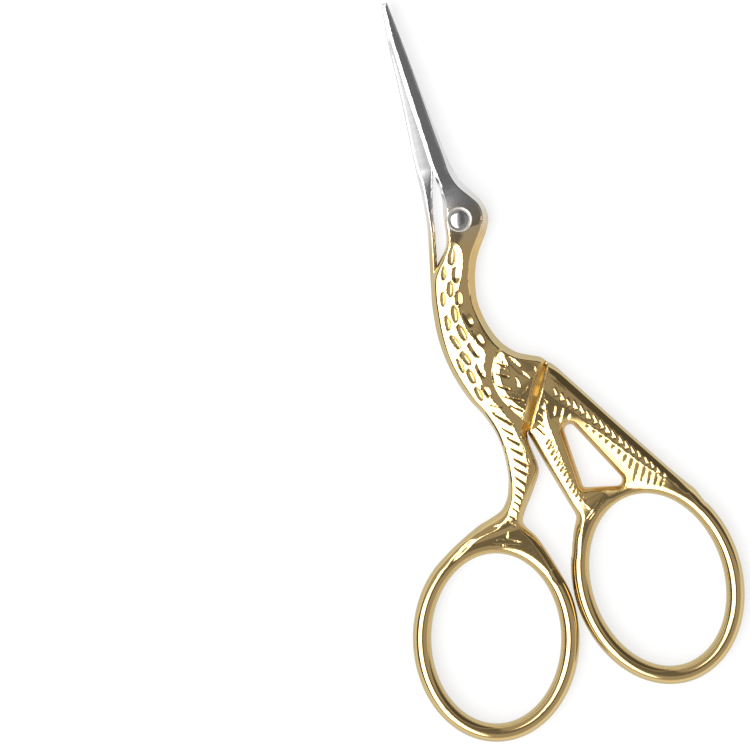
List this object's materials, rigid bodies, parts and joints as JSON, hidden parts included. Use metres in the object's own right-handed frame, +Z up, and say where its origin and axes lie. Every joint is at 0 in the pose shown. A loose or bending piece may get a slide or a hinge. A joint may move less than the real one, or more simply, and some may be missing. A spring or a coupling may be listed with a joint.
{
  "type": "stork embroidery scissors",
  "caption": "Small needlework scissors shaped as a stork: the beak is the blades, the eye is the pivot rivet, and the legs run into oval finger rings.",
  "frame": {"origin": "on the pivot axis, at the flush back end of the rivet, in the plane of the table that the closed scissors lie on", "axes": "+Y along the closed blades to the tips, +Z up out of the front face, +X to the right of the bird as seen from the front"},
  "size_m": [0.0527, 0.1143, 0.0044],
  "materials": {
    "front_half": "polished light gold plating on forged steel, with bare ground steel on the blade",
    "back_half": "polished light gold plating on forged steel, with bare ground steel on the blade",
    "rivet": "polished steel, a low dome inside a shallow ring"
  },
  "bodies": {
    "front": {"front_half": "front_half", "rivet": "rivet"},
    "back": {"back_half": "back_half"}
  },
  "joints": [
    {"name": "pivot", "type": "hinge", "parent": "front", "child": "back", "pos_m": [0, 0, 0], "axis": [0, 0, 1], "range_deg": [0, 60]}
  ]
}
